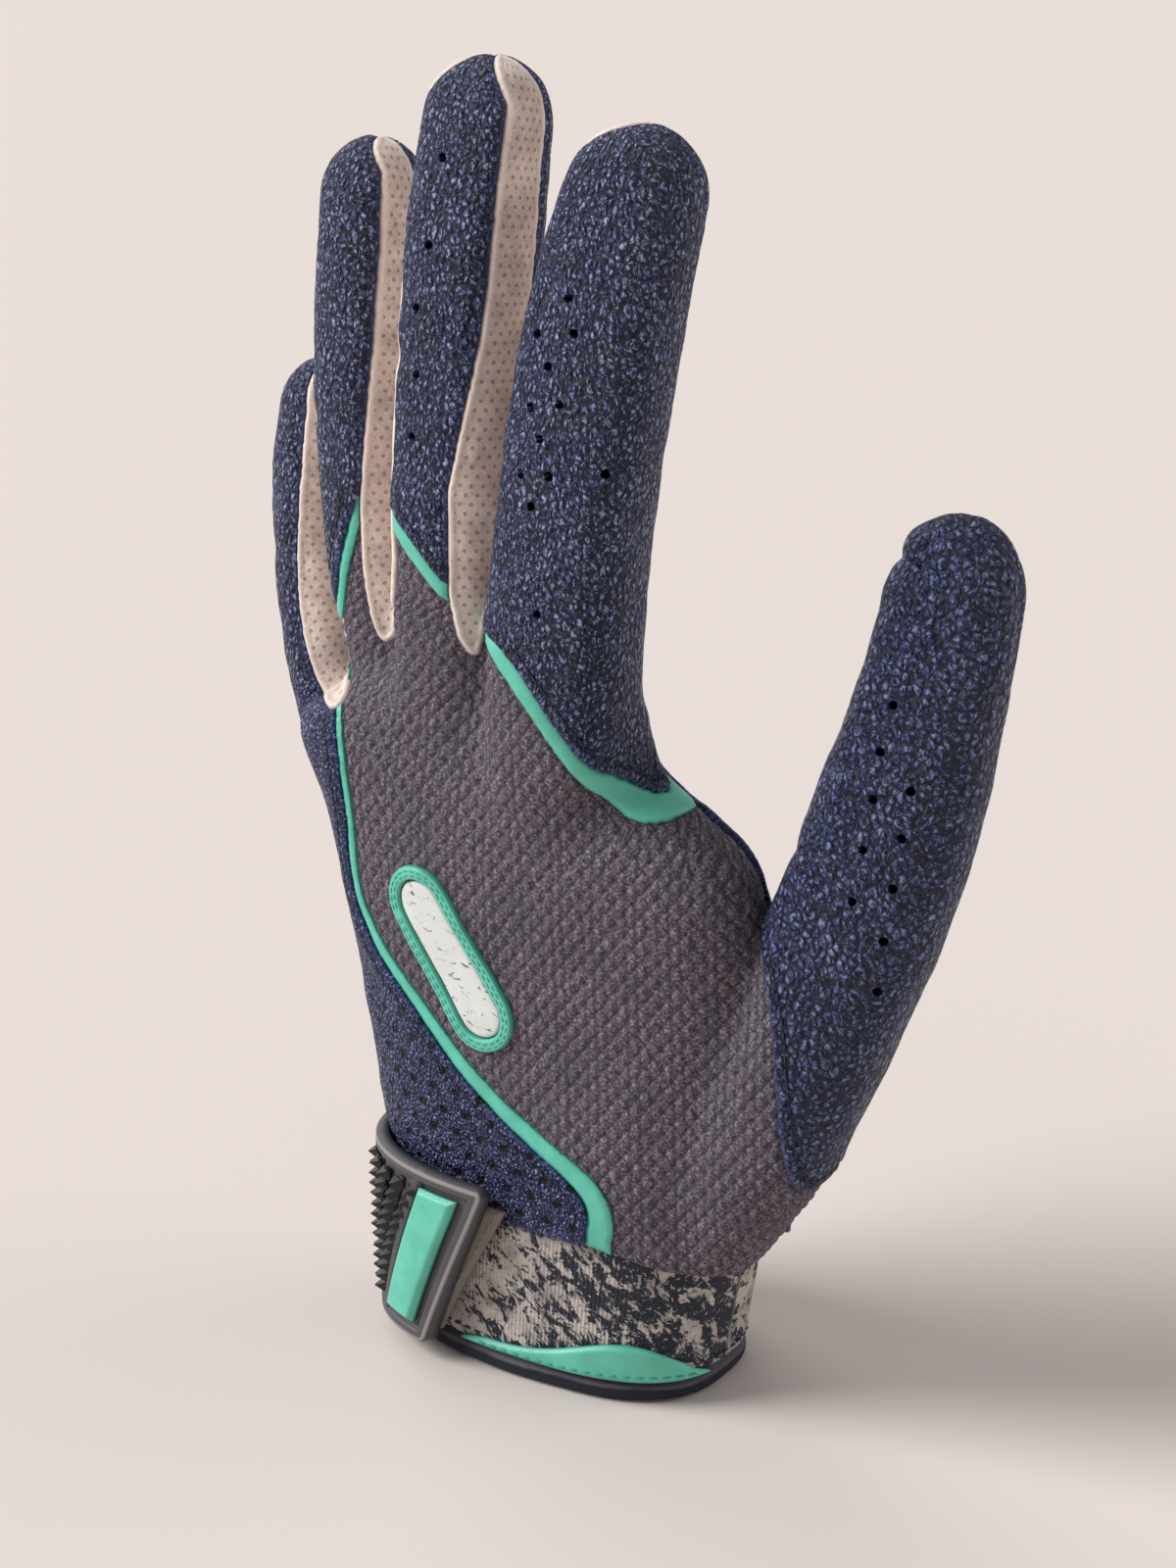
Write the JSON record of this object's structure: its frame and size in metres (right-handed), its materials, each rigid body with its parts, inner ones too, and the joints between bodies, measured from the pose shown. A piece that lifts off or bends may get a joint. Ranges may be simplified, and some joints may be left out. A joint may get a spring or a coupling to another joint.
{
  "type": "batting glove",
  "caption": "Left-hand batting glove with a knit back, leather digits, suede finger sides, trims and a printed cuff closed by a strap with a spiked rubber tab.",
  "frame": {"origin": "centre of the wrist opening, in the plane of the cuff's hem", "axes": "+Z from the hem to the fingertips, +X to the thumb side, +Y out of the palm, so the back of the hand faces -Y"},
  "size_m": [0.1573, 0.056, 0.2456],
  "materials": {
    "navy_leather": "pebbled, satin",
    "grey_suede": "napped, perforated microsuede",
    "teal_trim": "smooth, satin",
    "knit_back": "diamond-ribbed stretch knit",
    "pale_inlay": "mottled, matt",
    "printed_cuff": "splatter-printed stretch cloth",
    "dark_lining": "matt tape and lining",
    "grey_rubber": "moulded, satin",
    "black_rubber": "moulded, satin"
  },
  "bodies": {
    "hand": {"back_panel": "knit_back", "palm_leather": "navy_leather", "ulnar_side_panel": "navy_leather", "index_trim": "teal_trim", "middle_trim": "teal_trim", "ring_trim": "teal_trim", "ulnar_trim": "teal_trim", "badge_rim": "teal_trim", "badge_inlay": "pale_inlay", "cuff_band": "printed_cuff", "cuff_lining": "dark_lining", "hem_binding": "dark_lining", "hem_piping": "teal_trim", "loop_patch": "dark_lining", "strap_root": "navy_leather", "pull_tab": "navy_leather"},
    "index": {"index_back": "navy_leather", "index_front": "navy_leather", "index_fourchette_ulnar": "grey_suede"},
    "middle": {"middle_back": "navy_leather", "middle_front": "navy_leather", "middle_fourchette_radial": "grey_suede", "middle_fourchette_ulnar": "grey_suede"},
    "ring": {"ring_back": "navy_leather", "ring_front": "navy_leather", "ring_fourchette_radial": "grey_suede", "ring_fourchette_ulnar": "grey_suede"},
    "little": {"little_back": "navy_leather", "little_front": "navy_leather", "little_fourchette_radial": "grey_suede"},
    "thumb": {"thumb_back": "navy_leather", "thumb_front": "navy_leather"},
    "strap": {"strap_tab": "grey_suede", "hook_patch": "dark_lining", "tab_frame": "grey_rubber", "tab_plate": "teal_trim", "spike_row_1": "black_rubber", "spike_row_2": "black_rubber", "spike_row_3": "black_rubber"}
  },
  "joints": [
    {"name": "index_flex", "type": "hinge", "parent": "hand", "child": "index", "pos_m": [0.00853, -0.00619, 0.13622], "axis": [-0.9965, -0.0048, 0.0834], "range_deg": [0, 75]},
    {"name": "middle_flex", "type": "hinge", "parent": "hand", "child": "middle", "pos_m": [-0.01619, -0.00377, 0.14161], "axis": [-0.9993, -0.0018, 0.0379], "range_deg": [0, 75]},
    {"name": "ring_flex", "type": "hinge", "parent": "hand", "child": "ring", "pos_m": [-0.0362, 0.00418, 0.13682], "axis": [-0.9863, 0.007, -0.165], "range_deg": [0, 75]},
    {"name": "little_flex", "type": "hinge", "parent": "hand", "child": "little", "pos_m": [-0.05649, 0.00946, 0.12388], "axis": [-0.9475, -0.0363, -0.3176], "range_deg": [0, 75]},
    {"name": "thumb_flex", "type": "hinge", "parent": "hand", "child": "thumb", "pos_m": [0.0395, 0.0106, 0.08], "axis": [0, 0, 1], "range_deg": [0, 50]},
    {"name": "strap_peel", "type": "hinge", "parent": "hand", "child": "strap", "pos_m": [-0.0353, 0.01087, 0.0215], "axis": [0.0082, -0.0225, -0.9997], "range_deg": [0, 110]}
  ]
}
